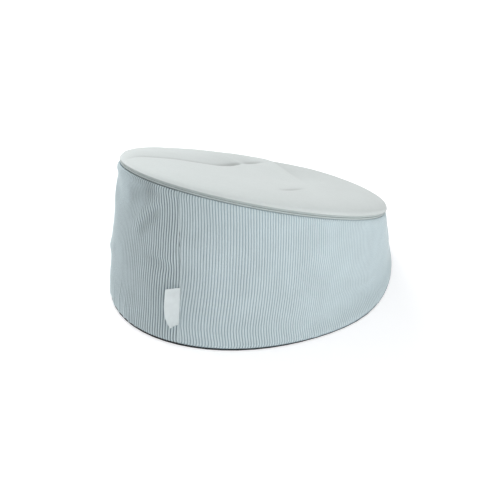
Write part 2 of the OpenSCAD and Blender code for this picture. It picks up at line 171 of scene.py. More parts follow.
class StageLook(bpy.types.PropertyGroup):
    """The floor, the lights and the camera."""
    azimuth: turn("Azimuth", "Direction that the camera looks in", 213.558)
    elevation: turn("Elevation", "Height of the camera above the horizon", 27.986)
    distance: length("Distance", "Distance from the camera to the seat", 3.2503, 0.5, 10)
    lens: share("Lens", "Focal length in millimetres", 125.49, 10, 300)
    target: FloatVectorProperty(name="Middle of view", description="Point in the middle of the picture",
                                default=(0.0055, 0.00747, 0.05364), subtype="XYZ")
    sky_light: share("Sky light", "Strength of the even light from all sides", 0.06, 0, 10)
    key_light: share("Key light", "Power of the large soft light on the right, in watts", 31.5, 0, 1000)
    left_light: share("Left light", "Power of the soft light on the left, in watts", 11.5, 0, 1000)
    top_light: share("Top light", "Power of the soft light overhead, in watts", 26, 0, 1000)
    back_light: share("Back light", "Power of the soft light behind the seat, in watts", 60, 0, 1000)
    front_light: share("Front light", "Power of the soft light beside the camera, in watts", 22, 0, 1000)
    floor_colour: dye("Floor colour", "Colour of the floor", "#D2D2D4")
    floor_glow: share("Floor glow", "Light of the floor's own, as of a lit sheet", 0.53, 0, 1)


def linear(hex_colour):
    """An sRGB hex colour as the linear values that shaders take."""
    channels = [int(hex_colour[i:i + 2], 16) / 255 for i in (1, 3, 5)]
    return [c / 12.92 if c <= 0.04045 else ((c + 0.055) / 1.055) ** 2.4 for c in channels] + [1.0]


# Shape of the seat, the same as in the solids


def on_rim(body, across, along, height):
    """Points given across, up the slope and off the rim's plane, as points of the seat."""
    cosine, sine = math.cos(body.rim_tilt), math.sin(body.rim_tilt)
    return np.stack([
        across + 0 * along,
        body.rim_shift + along * cosine - height * sine,
        body.rim_height + along * sine + height * cosine,
    ], -1)


def rim_matrix(body):
    """Places what is drawn flat, with its axis up, on the rim's plane."""
    return Matrix.Translation((0, body.rim_shift, body.rim_height)) @ Matrix.Rotation(body.rim_tilt, 4, "X")


def seam_shift(body, level):
    """How far the seams wind round at a level, in radians."""
    return -body.seam_turn * np.cos(math.pi / 2 * level)


# Where the filling pushes the cloth out or lets it in: angle from the back towards +X in degrees,
# level, reach in degrees, reach in levels, and metres outwards
SETTLED = [
    (-84, 0.0, 26, 0.094, 0.0156),
    (71, 0.08, 26, 0.4, -0.0056),
    (-93, 0.31, 39, 0.39, -0.0096),
    (-47, 0.0, 25, 0.12, 0.0030),
]

# Soft folds of the sides: points as angle from the back and level, then the half width and the
# height in metres, which is negative for a valley
FOLDS = [
    ([(4, 0.925), (8.7, 0.905), (12.8, 0.86), (17.2, 0.795), (20.5, 0.71), (27, 0.64)], 0.0070, 0.0036),
    ([(8, 0.83), (12, 0.77), (16, 0.70), (21, 0.62)], 0.0095, -0.0028),
    ([(16, 0.92), (24, 0.86), (36, 0.81), (52, 0.79)], 0.0180, -0.0045),
    ([(-5, 0.545), (1.4, 0.56), (5, 0.555), (10, 0.56), (18, 0.55)], 0.0075, 0.0022),
    ([(-4.5, 0.485), (2, 0.49), (9, 0.495)], 0.0090, -0.0020),
    ([(36, 0.42), (44, 0.36), (54, 0.33)], 0.011, 0.0030),
    ([(-70, 0.36), (-84, 0.30), (-100, 0.30)], 0.012, 0.0028),
    ([(118, 0.55), (140, 0.47), (166, 0.50)], 0.011, 0.0028),
    ([(-176, 0.40), (-150, 0.33), (-128, 0.38)], 0.012, 0.0026),
]

# Painted shade along the folds of the left panel: points as in the folds, half width in metres and share
SHADES = [
    ([(9, 0.99), (17, 0.95), (25, 0.89), (33, 0.83)], 0.0200, 1.0),
    ([(7, 0.84), (12, 0.765), (16, 0.69), (20, 0.62)], 0.0100, 0.7),
    ([(0, 0.50), (7, 0.505), (15, 0.50)], 0.0080, 0.35),
]

# Small tucks where the sides are sewn to the base: angle from the back, height up the wall as a level,
# half width and height in metres
TUCKS = [
    (14, 0.10, 0.0030, 0.0012), (18, 0.15, 0.0032, 0.0016), (22.5, 0.12, 0.0030, 0.0018),
    (27.5, 0.17, 0.0034, 0.0020), (33, 0.12, 0.0030, 0.0015), (41, 0.10, 0.0034, 0.0012),
    (58, 0.12, 0.0034, 0.0014), (-62, 0.10, 0.0036, 0.0010), (-96, 0.12, 0.0034, 0.0014),
    (122, 0.12, 0.0034, 0.0015), (151, 0.12, 0.0034, 0.0013), (-148, 0.12, 0.0034, 0.0014),
]


def degrees_from(middle, turned):
    """Degrees from a middle in degrees to angles in radians, between -180 and 180."""
    return (np.degrees(turned) - middle + 180) % 360 - 180


def near(distance, reach):
    """1 at no distance, and softly down to 0 beyond the reach."""
    return np.exp(-(distance / reach) ** 2)


def bump_at(angle, bump):
    """A soft bump for angles in radians: its height, its middle from the back and its reach in degrees."""
    height, middle, reach = bump
    return height * near(degrees_from(middle, angle), reach)


def settled(turned, level):
    """How far the settled filling moves the wall outwards, beyond the even swelling."""
    out = np.zeros(np.broadcast(turned, level).shape)
    for angle, height, reach, tall, push in SETTLED:
        away = degrees_from(angle, turned)
        out += push * np.exp(-(away / reach) ** 2 - ((level - height) / tall) ** 2)
    return out


def wall(body, turned, level, out=0.0):
    """Points of the sides at an angle from the back towards +X and a level from foot to head."""
    foot = body.base_thick + body.seam_width
    sine, cosine = np.sin(turned), np.cos(turned)
    flat = np.zeros_like(turned + level)
    low = np.stack([body.base_width / 2 * sine + flat, body.base_depth / 2 * cosine + flat, flat + foot], -1)
    high = on_rim(body, body.rim_radius * sine + flat, body.rim_radius * cosine + flat,
                  flat - body.band_height / 2)
    swell = body.swell * np.sin(np.pi * np.power(level, body.swell_power)) + settled(turned, level) + out
    outward = np.stack([sine + flat, cosine + flat, flat], -1)
    mixed = np.asarray(level + flat)[..., None]
    return low * (1 - mixed) + high * mixed + outward * np.asarray(swell)[..., None]


def ripples(points, size, seed):
    """Smooth, uneven waves of about the given size in metres, between -1 and 1."""
    random = np.random.default_rng(seed)
    total = np.zeros(points.shape[:-1])
    waves = 9
    for _ in range(waves):
        direction = random.normal(size=3)
        direction /= np.linalg.norm(direction)
        total += np.sin(points @ direction * (2 * np.pi / (size * random.uniform(0.7, 1.5)))
                        + random.uniform(0, 2 * np.pi))
    return total / math.sqrt(waves / 2) / 2


def smooth_step(value):
    """A soft step from 0 to 1."""
    value = np.clip(value, 0, 1)
    return value * value * (3 - 2 * value)


# Making pieces


def finish_mesh(name, bm, body_name, node, material):
    """Turns a bmesh into a smooth piece at the origin. It stands for a node, and rides on a body if given."""
    mesh = bpy.data.meshes.new(name)
    bm.to_mesh(mesh)
    bm.free()
    piece = bpy.data.objects.new(name, mesh)
    bpy.context.scene.collection.objects.link(piece)
    for face in mesh.polygons:
        face.use_smooth = True
    mesh.materials.append(material)
    if body_name:
        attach(piece, body_name)
    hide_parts(node)
    return piece


def thicken(piece, thickness):
    """Gives a sheet its thickness, inwards from its outer face."""
    solid = piece.modifiers.new("thickness", "SOLIDIFY")
    solid.thickness = thickness
    solid.offset = -1


def grid(columns, rows):
    """A flat grid of faces, with its vertices in rows of one column after the other."""
    bm = bmesh.new()
    bmesh.ops.create_grid(bm, x_segments=columns - 1, y_segments=rows - 1, size=0.5)
    return bm


def grid_places(bm, columns, rows):
    """Column and row of each vertex of a grid, from where it was made."""
    bm.verts.ensure_lookup_table()
    flat = np.array([vertex.co for vertex in bm.verts])
    return (np.rint((flat[:, 0] + 0.5) * (columns - 1)).astype(int),
            np.rint((flat[:, 1] + 0.5) * (rows - 1)).astype(int))


def move_to(bm, points):
    """Moves the vertices to their points, in order."""
    for vertex, point in zip(bm.verts, points):
        vertex.co = point


def store(bm, name, values):
    """Keeps a number for each vertex, which a material can read."""
    layer = bm.verts.layers.float.new(name)
    for vertex, value in zip(bm.verts, values):
        vertex[layer] = value


def join_points(bm):
    """Joins the points that fall together."""
    bmesh.ops.remove_doubles(bm, verts=bm.verts, dist=SAME_POINT)
    bmesh.ops.dissolve_degenerate(bm, edges=bm.edges, dist=SAME_POINT)


def turn_outwards(bm, middle):
    """Turns all the faces of a sheet over if they look towards the middle."""
    bm.normal_update()
    if sum(face.calc_area() * face.normal.dot(face.calc_center_median() - middle) for face in bm.faces) < 0:
        bmesh.ops.reverse_faces(bm, faces=bm.faces)


def rib_slip(look, side, turned, level):
    """How far round the wall the ribs of a panel have slipped at an angle and a level, in metres."""
    down = 1 - level
    to_front = smooth_step((np.abs(np.degrees(turned)) - 60) / 110)
    if side > 0:
        return down * (look.rib_lean * (1 - to_front) - look.rib_far * to_front)
    return -down * (look.rib_drop + look.rib_curve * down ** 2) * (1 - to_front)


def rib_closeness(look, side, turned):
    """How much closer together the ribs lie at an angle than beside the back seam."""
    if side > 0:
        return np.ones_like(turned)
    return 1.04 + look.closeness * smooth_step((-np.degrees(turned) - 10) / 50)


# Rows of a side panel, in hundredths of its height: closer together at the foot and the head
PANEL_LEVELS = np.array([
    0, 0.25, 0.6, 1.0, 1.5, 2.1, 2.8, 3.6, 4.6, *np.linspace(6.0, 93.0, 26),
    94.6, 96, 97.2, 98.2, 98.9, 99.4, 99.7, 100,
]) / 100

# Bumps round the seat: a share or metres, then the angle from the back and the reach in degrees.
# Where the ribs stand open, which also darkens their valleys with painted shade: on the left panel and where
# it flares, and on the right at the seam and low down
OPEN_LEFT, OPEN_FLARED = (1.0, 2, 45), (1.0, 20, 16)
OPEN_SEAM, OPEN_LOW = (0.6, 0, 14), (0.22, -38, 24)
# Where the ribs are worn flatter, the cloth rolls out below the rim, and it hangs over the edge of the base
WORN, ROLLED, HANGING = (0.4, -88, 30), (0.0028, 45, 50), (0.0023, -110, 45)

# How the ribs wander to either side: the share of their distance, the size of the waves in metres,
# how drawn out they are up the wall, and the number that picks them
WANDER = [(0.08, 0.045, 0.35, 3), (0.03, 0.02, 0.5, 4)]


def from_middle(steps):
    """Lengths along each row of steps, from the row's middle."""
    lengths = np.concatenate([np.zeros((len(steps), 1)), np.cumsum(steps, axis=1)], 1)
    return lengths - lengths[:, [steps.shape[1] // 2]]


def wall_outward(body, angle, level):
    """Directions straight out of the wall."""
    step = 1e-4
    sideways = wall(body, angle + step, level) - wall(body, angle - step, level)
    upwards = wall(body, angle, np.minimum(level + step, 1)) - wall(body, angle, np.maximum(level - step, 0))
    outward = np.cross(upwards, sideways)
    outward /= np.linalg.norm(outward, axis=1)[:, None]
    return outward * np.sign((outward[:, 0] * np.sin(angle) + outward[:, 1] * np.cos(angle)))[:, None]


def open_ribs(at):
    """How open the ribs stand as a share, but for those that the long fold presses together."""
    if at.side < 0:
        return bump_at(at.angle, OPEN_SEAM) + bump_at(at.angle, OPEN_LOW) * (1 - at.level)
    pressed = smooth_step((at.level - 0.72) / 0.12) * smooth_step((at.angle - 0.24) / 0.16)
    flared = bump_at(at.angle, OPEN_FLARED) * near(at.from_head, 0.014)
    return np.maximum(bump_at(at.angle, OPEN_LEFT) * (1 - 0.6 * pressed), flared)


def rib_edges(at):
    """How high the ribs stand as a share: they run out at the rim, at the base and a little at the seams."""
    at_rim = smooth_step(at.from_head / 0.0015 + 0.25)
    at_base = smooth_step(at.from_foot / 0.002 + 0.2)
    at_seam = 0.75 + 0.25 * smooth_step(at.from_seam / 0.002)
    return np.minimum(at_rim, np.minimum(at_base, at_seam))


def beneath_tag(at):
    """How much the tag presses the ribs flat: less on the right panel, where it lies only when swung over."""
    width, half_height, middle, softness = 0.034, 0.036, 0.0724, 0.004
    across = smooth_step((width - at.from_seam) / softness)
    upright = smooth_step((half_height - np.abs(at.points[:, 2] - middle)) / softness)
    at_back = np.abs(at.angle) < 0.5
    return across * upright * at_back * (1.0 if at.side > 0 else 0.4)


def cloth_relief(at, look):
    """How far the cloth stands off the smooth wall: ribs, seams, the roll below the rim, and softness."""
    # Shares of a rib's height: what it keeps where it isn't open, gains there, loses in crushed patches and
    # beneath the tag, and how deep it is sunk in the wall
    kept, gained, patchy, pressed, sunk = 0.85, 0.6, 0.18, 0.45, 0.4
    crushed = 1 - patchy * smooth_step(ripples(at.points, 0.05, 5) + 0.2)
    crushed = crushed * (kept + gained * at.open - bump_at(at.angle, WORN))
    beneath = beneath_tag(at)
    ribs = look.rib_height * (at.wale * crushed * at.edges * (1 - pressed * beneath) - sunk)
    # Metres
    bedded, tucked, pinched, rolled, softness = 0.0004, 0.0012, 0.0002, 0.0010, 0.0014
    ribs = ribs - bedded * beneath
    tuck = tucked * near(at.from_head, 0.002) + tucked * near(at.from_foot, 0.004)
    pinch = pinched * near(at.from_seam, 0.010)
    roll = (rolled + bump_at(at.angle, ROLLED)) * near(at.from_head - 0.008, 0.008)
    soft = softness * ripples(at.points * [1, 1, 1.6], 0.11, 6)
    soft = soft * smooth_step(at.from_head / 0.03) * smooth_step(at.from_foot / 0.03)
    return ribs - tuck - pinch + roll + soft + side_folds(at.angle, at.level)


def lay_ribs(body, look, side, levels):
    """Angles of points along each row of a panel, and their lengths along it as cloth and ribs lie."""
    points_along = 721
    half_turn = math.pi / 2 - body.seam_width / 2 / body.rim_radius
    turns = np.linspace(-half_turn, half_turn, points_along)
    turned = side * math.pi / 2 + turns[None, :] + seam_shift(body, levels)[:, None]
    steps = np.linalg.norm(np.diff(wall(body, turned, levels[:, None]), axis=1), axis=2)
    spread = from_middle(steps * rib_closeness(look, side, (turned[:, 1:] + turned[:, :-1]) / 2))
    return turned, from_middle(steps), spread + rib_slip(look, side, turned, levels[:, None])


def cloth_places(bm, along, from_foot):
    """Keeps each vertex's place in the flat cloth, which the pile follows."""
    layer = bm.loops.layers.uv.new("cloth")
    for face in bm.faces:
        for loop in face.loops:
            i = loop.vert.index
            loop[layer].uv = (along[i], from_foot[i])


def corduroy_panel(node, side, body, look, material):
    """One side panel: ribs parallel in the flat cloth, which run into the seams where it narrows."""
    levels = PANEL_LEVELS
    turned, arc, leaning = lay_ribs(body, look, side, levels)
    spacing = look.rib_pitch / look.columns
    half = int(math.ceil(max(leaning.max(), -leaning.min()) / spacing))
    columns = 2 * half + 1
    bm = grid(columns, len(levels))
    column, row = grid_places(bm, columns, len(levels))
    along = (column - half) * spacing
    low, high = leaning[row, 0], leaning[row, -1]
    level = levels[row]

    def angle_at(places):
        angle = np.empty(len(places))
        for r in range(len(levels)):
            here = row == r
            angle[here] = np.interp(places[here], leaning[r], turned[r])
        return angle

    rough = wall(body, angle_at(np.clip(along, low, high)), level)
    wander = sum(much * ripples(rough * [1, 1, upright], size, seed) for much, size, upright, seed in WANDER)
    kept = np.clip(along + wander * look.rib_pitch, low, high)
    angle = angle_at(kept)
    points = wall(body, angle, level)
    upwards = wall(body, angle, np.ones_like(level)) - wall(body, angle, np.zeros_like(level))
    height = np.linalg.norm(upwards, axis=1)
    at = SimpleNamespace(
        side=side, angle=angle, level=level, points=points, from_head=(1 - level) * height,
        from_foot=level * height, from_seam=np.minimum(kept - low, high - kept),
        wale=np.abs(np.cos(np.pi * along / look.rib_pitch)) ** 0.7)
    at.open = open_ribs(at)
    at.edges = rib_edges(at)
    points = points + wall_outward(body, angle, level) * cloth_relief(at, look)[:, None]
    points[:, 2] -= bump_at(angle, HANGING) * near(at.from_foot, 0.006) * (side < 0)
    move_to(bm, points)
    # The colour follows the ribs, whose valleys carry painted shade; beside the seams it stays near the ridge
    # colour
    store(bm, "wale", np.maximum(at.wale * at.edges, 0.85 * near(at.from_seam, 0.0022)))
    # How open the ribs stand, which also sets the painted shade in their valleys
    store(bm, "open", np.clip(at.open, 0, 1))
    # Painted shade along the folds of the left panel
    store(bm, "flat_pile", np.clip(along_lines(SHADES, angle, level), 0, 1) * (side > 0))
    cloth_places(bm, along + half * spacing, at.from_foot)
    join_points(bm)
    turn_outwards(bm, Vector((0, 0, body.rim_height / 2)))
    piece = finish_mesh(node + "_corduroy", bm, RIM, node, material)
    thicken(piece, look.thickness)


# What a radian round the sides and the whole way up them measure at the lines, in metres
SIDE_SCALE = np.array([0.26, 0.24])


def along_lines(table, angle, level):
    """Sum of the soft bumps along the lines of a table, at angles and levels of the sides."""
    total = np.zeros(len(level))
    for points, half_width, rise in table:
        line = np.array(points) * [math.pi / 180, 1]
        middle = line[len(line) // 2, 0]
        turned = (angle - middle + math.pi) % (2 * math.pi) - math.pi + middle
        away, along = near_line(np.stack([turned, level], -1) * SIDE_SCALE, line * SIDE_SCALE)
        fade = smooth_step(np.minimum(along, 1 - along) * 4 + 0.1)
        total += rise * near(away, half_width) * fade
    return total


def side_folds(angle, level):
    """Height of the soft folds and the small tucks of the sides."""
    total = along_lines(FOLDS, angle, level)
    for middle, tall, half_width, rise in TUCKS:
        away = degrees_from(middle, angle) * math.pi / 180 * SIDE_SCALE[0]
        total += rise * near(away, half_width) * near(level, tall)
    return total


def near_line(places, line):
    """Distance from a line of points, positive on its right, and the share along it."""
    lengths = np.linalg.norm(np.diff(line, axis=0), axis=1)
    starts = np.concatenate([[0], np.cumsum(lengths)]) / lengths.sum()
    best = np.full(len(places), 1e9)
    side = np.ones(len(places))
    along = np.zeros(len(places))
    for i in range(len(line) - 1):
        step = line[i + 1] - line[i]
        here = places - line[i]
        part = np.clip(here @ step / (step @ step), 0, 1)
        away = here - part[:, None] * step
        far = np.linalg.norm(away, axis=1)
        closer = far < best
        best[closer] = far[closer]
        side[closer] = np.sign(step[1] * here[closer, 0] - step[0] * here[closer, 1] + 1e-12)
        along[closer] = starts[i] + part[closer] * (starts[i + 1] - starts[i])
    return best * side, along


# Creases of the top, seen from the back as the near and the far side of a line. Each has its points across
# and up the slope from the middle of the rim, in millimetres, with the strength at each as a share, and then
# the depth, its reach to the far and the near side, the strength of the painted shade in the crease and its
# reach to the far and the near side, and the painted shade beyond the line with its reach
CREASES = {
    "long crease": (
        [(159, 180, 0.3), (157, 168, 0.35), (147, 141, 0.65), (124, 115, 0.5), (109, 77, 0.6), (88, 44, 0.8),
         (75, 12, 1.0), (77, -16, 1.0), (82, -50, 1.3), (83, -72, 1.05), (80, -80, 0.35), (79, -88, 0.35),
         (81, -118, 1.1), (72, -150, 0.1)],
        0.0062, 0.030, 0.007, 1.0, 0.0100, 0.0030, 0.28, 0.060),
    "dent": (
        [(92, -210, 1.0), (55, -178, 1.0), (15, -142, 0.9), (-20, -114, 0.6), (-60, -76, 0.1)],
        0.0046, 0.030, 0.009, 0.15, 0.014, 0.004, 0.24, 0.11),
    "short crease": (
        [(-120, 112, 0.1), (-121, 89, 0.9), (-122, 59, 1.0), (-121, 24, 0.1)],
        0.0022, 0.010, 0.004, 0.75, 0.0070, 0.003, 0.0, 0.01),
    "raised line": (
        [(-131, -139, 0.1), (-161, -111, 0.8), (-209, -50, 1.0), (-240, -15, 0.1)],
        -0.0012, 0.006, 0.006, 0.0, 0.002, 0.002, 0.0, 0.01),
}

# Where the top is slacker or plumper near its edge, as bumps
PLUMP = [(-0.0056, 100, 36), (0.0034, 180, 19)]


def eased(line):
    """A line of points with its corners cut twice, so that it runs as a curve. Its ends stay."""
    for _ in range(2):
        cut = np.stack([0.75 * line[:-1] + 0.25 * line[1:], 0.25 * line[:-1] + 0.75 * line[1:]], 1)
        line = np.concatenate([line[:1], cut.reshape(-1, line.shape[1]), line[-1:]])
    return line


def crease_field(places):
    """Depth of the top's creases at places on the rim's plane, and the painted shade in and beyond them."""
    depth, dark = np.zeros(len(places)), np.zeros(len(places))
    for points, deep, far_side, this_side, darkness, dark_far, dark_this, shade, reach in CREASES.values():
        line = eased(np.array(points, float))
        away, along = near_line(places, line[:, :2] * mm)
        lengths = np.linalg.norm(np.diff(line[:, :2], axis=0), axis=1)
        knots = np.concatenate([[0], np.cumsum(lengths)]) / lengths.sum()
        strength = np.interp(along, knots, line[:, 2])
        # The very bottom of the crease is round
        soft = np.sqrt(away ** 2 + 0.0012 ** 2)
        depth += deep * strength * np.exp(-soft / np.where(away > 0, this_side, far_side))
        # Painted shade along the crease, and broader painted shade over the far side beyond it
        dark += darkness * strength * near(away, np.where(away > 0, dark_this, dark_far))
        dark += shade * np.minimum(strength, 1) * near(away, reach) * (away < 0)
    return depth, np.clip(dark, 0, 1)


def top_height(body, look, across, along):
    """Height of the top above the rim's plane, as the solid has it without its fold, and how full it is."""
    reach = np.minimum(1, np.hypot(across, along) / body.rim_radius)
    full = np.sqrt(1 - reach ** look.edge_power)
    hollow = look.hollow_depth * near(np.hypot(across, along - look.hollow_shift), look.hollow_reach)
    return body.band_height / 2 + look.rise * full - hollow * full ** 2, full


def rolled_sheet(columns, rows, place):
    """A grid rolled up round its middle: place gives the points for the turn and the row of each vertex."""
    bm = grid(columns + 1, rows)
    column, row = grid_places(bm, columns + 1, rows)
    move_to(bm, place(column * 2 * math.pi / columns, row))
    return bm


def rolled_piece(name, bm, node, material, middle_height, thickness=None):
    """Closes a rolled sheet, whose pole has very many edges, and makes it a piece, thickened if cloth."""
    join_points(bm)
    poles = [vertex for vertex in bm.verts if len(vertex.link_edges) > 50]
    bmesh.ops.dissolve_verts(bm, verts=poles)
    turn_outwards(bm, Vector((0, 0, middle_height)))
    piece = finish_mesh(name, bm, RIM, node, material)
    if thickness:
        thicken(piece, thickness)
    return piece


# Rings of the top from its middle outwards, as shares of its radius: closer together at the edge
TOP_RINGS = np.concatenate([np.linspace(0, 0.87, 52), 1 - 0.13 * (1 - np.linspace(0, 1, 34)[1:]) ** 1.8])
TOP_COLUMNS = 360
# Soft waves of the top: their height and size in metres, and the number that picks them
TOP_WAVES = [(0.0008, 0.12, 11), (0.0004, 0.05, 12)]
# How far the top leans out over the zip, how high above its edge and with what reach, in metres
TOP_LEANS = [(0.0007, 0.005, 0.0035), (0.0014, 0, 0.0018)]


def top_panel(body, look, material):
    """The smooth top: plump along the zip, hollow in the middle, with its creases."""
    made = {}

    def place(turned, row):
        share_out = TOP_RINGS[row]
        radius = share_out * body.rim_radius
        across, along = radius * np.sin(turned), radius * np.cos(turned)
        height, full = top_height(body, look, across, along)
        depth, dark = crease_field(np.stack([across, along], -1))
        flat_points = np.stack([across, along, 0 * across], -1)
        soft = sum(tall * ripples(flat_points, size, seed) for tall, size, seed in TOP_WAVES)
        for bump in PLUMP:
            height = height + bump_at(turned, bump) * share_out ** 3 * full
        height = height - depth * full ** 2 + soft * full
        above = height - body.band_height / 2
        lean = sum(much * near(above - up, reach) for much, up, reach in TOP_LEANS)
        height = height - look.overhang * near(above, 0.002)
        # Painted shade in and beyond the creases, and a painted shadow along the edge where the top rolls
        # over the zip
        made["crease"] = np.maximum(dark * full, 0.8 * near(above, 0.0005))
        return on_rim(body, across + lean * np.sin(turned), along + lean * np.cos(turned), height)

    bm = rolled_sheet(TOP_COLUMNS, len(TOP_RINGS), place)
    # Painted shade of the creases and painted shadow under the rolled edge, for the material
    store(bm, "crease", made["crease"])
    piece = rolled_piece("top_cover", bm, "top_panel", material, 0, look.thickness)


def rounded(points, radius, steps):
    """A closed outline with its corners rounded off."""
    out = []
    count = len(points)
    for i in range(count):
        before, corner, after = (Vector(points[j % count]) for j in (i - 1, i, i + 1))
        first = corner + (before - corner).normalized() * min(radius, (before - corner).length * 0.45)
        last = corner + (after - corner).normalized() * min(radius, (after - corner).length * 0.45)
        for k in range(steps + 1):
            t = k / steps
            out.append(first * (1 - t) ** 2 + corner * 2 * t * (1 - t) + last * t ** 2)
    return out


def swept_round_rim(name, node, profile, reach, steps, body, material):
    """Sweeps an outline of radius and height round the rim, to an angle from the back on either side."""
    bm = bmesh.new()
    face = bm.faces.new([bm.verts.new((0, point[0], point[1])) for point in profile])
    bmesh.ops.rotate(bm, verts=bm.verts, cent=(0, 0, 0), matrix=Matrix.Rotation(reach, 3, "Z"))
    bmesh.ops.spin(bm, geom=list(bm.verts) + list(face.edges), cent=(0, 0, 0), axis=(0, 0, -1),
                   angle=2 * reach, steps=steps, use_merge=False, use_duplicate=False)
    bmesh.ops.holes_fill(bm, edges=[edge for edge in bm.edges if edge.is_boundary], sides=0)
    bmesh.ops.remove_doubles(bm, verts=bm.verts, dist=SAME_POINT / 10)
    bmesh.ops.recalc_face_normals(bm, faces=bm.faces)
    cloth = bm.loops.layers.uv.new("cloth")
    for face in bm.faces:
        for loop in face.loops:
            x, y, z = loop.vert.co
            round_it = (math.atan2(x, y) + math.pi) * body.rim_radius
            loop[cloth].uv = (round_it, z + body.rim_radius - math.hypot(x, y))
    bmesh.ops.transform(bm, verts=bm.verts, matrix=rim_matrix(body))
    finish_mesh(name, bm, RIM, node, material)


def zip_tape(node, side, body, look, material):
    """One woven tape: a slightly rounded strip that shows, and a hem that slopes in behind the cloth."""
    radius = body.rim_radius
    # Points of its section: millimetres in from the rim, and metres off the middle of the zip
    inner = look.groove / 2
    outer = body.band_height / 2 - body.seam_width
    if side > 0:
        shown = [(-0.3, 0.0024), (-0.1, outer - 0.0007), (0.9, outer - 0.00005), (2.4, outer)]
    else:
        shown = [(-0.3, 0.0018), (0.3, outer - 0.0014), (1.5, outer - 0.0003), (2.6, outer)]
    outline = [(0.8, inner + 0.00005), (0.05, inner + 0.00005), (-0.2, inner + 0.0006)] + shown
    outline += [(5.2, outer + 0.0028), (5.9, outer + 0.0021), (2.9, outer - 0.0009), (2.0, outer - 0.0014),
                (1.0, inner + 0.0008)]
    profile = rounded([(radius - inwards * mm, side * height) for inwards, height in outline], 0.0005, 2)
    swept_round_rim(node + "_woven", node, profile, look.tape_reach, 350, body, material)


# How far the edges of cut cloth and of cast metal are eased, in metres
CLOTH_EDGE, METAL_EDGE, FINE_EDGE = 0.0003, 0.0004, 0.00022


def copied(node, name, body_name, material, bevel, cuts=0, change=None):
    """A piece made from a copy of a node's solid: merged, its edges eased, and changed if asked."""
    bm = bmesh.new()
    bm.from_mesh(frame["nodes"][node].data)
    bmesh.ops.remove_doubles(bm, verts=bm.verts, dist=SAME_POINT)
    bmesh.ops.dissolve_limit(bm, angle_limit=math.radians(0.5), verts=bm.verts, edges=bm.edges)
    sharp = [edge for edge in bm.edges if edge.calc_face_angle(0) > math.radians(30)]
    bmesh.ops.bevel(bm, geom=sharp, offset=bevel, offset_type="OFFSET", segments=2, profile=0.5,
                    affect="EDGES", clamp_overlap=True, material=-1)
    if cuts:
        bmesh.ops.triangulate(bm, faces=bm.faces)
        bmesh.ops.subdivide_edges(bm, edges=bm.edges, cuts=cuts, use_grid_fill=True)
    if change:
        change(bm)
    return finish_mesh(name, bm, body_name, node, material)


def flat_copy(node, name, material, bevel, change):
    """A copy of a node that is a flat cut of cloth."""
    piece = copied(node, name, RIM, material, bevel, change=change)


def joint_place(name):
    """The point and the axis of a joint of the record, in metres."""
    joint = next(joint for joint in frame["joints"] if joint["name"] == name)
    return Vector(joint["pos_m"]), Vector(joint["axis"]).normalized()


def tag_turn(lower, terms):
    """An angle that changes down the tag: terms in degrees, of the share lower to the powers 0, 1 and 3."""
    return np.radians(terms[0] + terms[1] * lower + terms[2] * lower ** 3)


def ribbon_tag(look, material):
    """The blank tag: a ribbon folded at its free edge and sewn in the seam, whose lower corner swings out."""
    sewn, up = joint_place("tag_flip")
    sewn = sewn - look.lowered * up
    low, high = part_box("side_tag")
    out = (low + high) / 2 - sewn
    out = (out - out.dot(up) * up).normalized()
    outwards = up.cross(out)
    half_gap, fold_steps, rows = 0.0002, 6, 49
    # The way along the ribbon, out and back: distance from the seam, and off the middle of its two layers
    flat = look.width - half_gap
    shares = list(np.linspace(0, 1, 25))
    bends = [math.pi * k / fold_steps for k in range(1, fold_steps)]
    way = [(share_out * flat, half_gap) for share_out in shares]
    way += [(flat + half_gap * math.sin(bend), half_gap * math.cos(bend)) for bend in bends]
    way += [(share_out * flat, -half_gap) for share_out in reversed(shares)]
    bm = grid(len(way), rows)
    column, row = grid_places(bm, len(way), rows)
    distance, layer = np.array(way)[column].T
    tall = row / (rows - 1)
    first = tag_turn(1 - tall, look.first_turn)
    curl = tag_turn(1 - tall, look.curl) / look.width
    steps = 24
    across, forward = np.zeros(len(distance)), np.zeros(len(distance))
    for k in range(steps):
        turned = first + curl * distance * (k + 0.5) / steps
        across += np.cos(turned) * distance / steps
        forward += np.sin(turned) * distance / steps
    last = first + curl * distance
    wave = 0.0005 * np.sin(tall * 9 + 1) * distance / look.width
    across -= np.sin(last) * layer
    forward += np.cos(last) * layer + wave
    frayed = 0.00025 * ripples(np.stack([distance, 0 * distance, layer * 40], -1), 0.0022, 21)
    at_cut = np.abs(tall - 0.5) > 0.499
    height = (tall - 0.5) * look.height + frayed * at_cut
    places = np.outer(across, out) + np.outer(forward, outwards) + np.outer(height, up)
    move_to(bm, places + np.array(sewn))
    turn_outwards(bm, sewn + out * look.width / 2)
    piece = finish_mesh("side_tag_ribbon", bm, None, "side_tag", material)
    thicken(piece, look.thickness)
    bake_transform(piece)


# The liner, in metres: how far inside the wall its side is, and how much further at its head and its foot,
# how far its foot is raised, how deep its head and its top lie, and its thickness
LINER_IN, LINER_HEAD_IN, LINER_FOOT_IN = 0.0066, 0.0024, 0.0012
LINER_RAISED, LINER_SUNK, LINER_DEPTH, LINER_THICK = 0.0016, 0.0083, 0.0108, 0.0006
SIDE_LEVELS = np.concatenate([[0, 0.01, 0.025], np.linspace(0.05, 1, 24)])
TOP_SHARES = np.concatenate([[1, 0.995, 0.985, 0.97, 0.95, 0.92], np.linspace(0.88, 0, 16)])
LINER_COLUMNS = 180
# Height and size of the puckers in its side
PUCKER_HEIGHT, PUCKER_SIZE = 0.0006, 0.03

# The beads: how far inside the liner they lie, and how much further above its foot and below its top
BEADS_IN, BEADS_RAISED, BEADS_DEEPER = 0.0026, 0.0016, 0.0014
# Half the length, the depth and the reach of the channel over the liner's zip
CHANNEL_HALF, CHANNEL_DEEP, CHANNEL_REACH = 0.2, 0.0042, 0.012
# Rings of the beads' base, as shares of its radius
BASE_SHARES = np.array([0, 0.03, 0.08, 0.2, 0.4, 0.6, 0.8, 0.93])


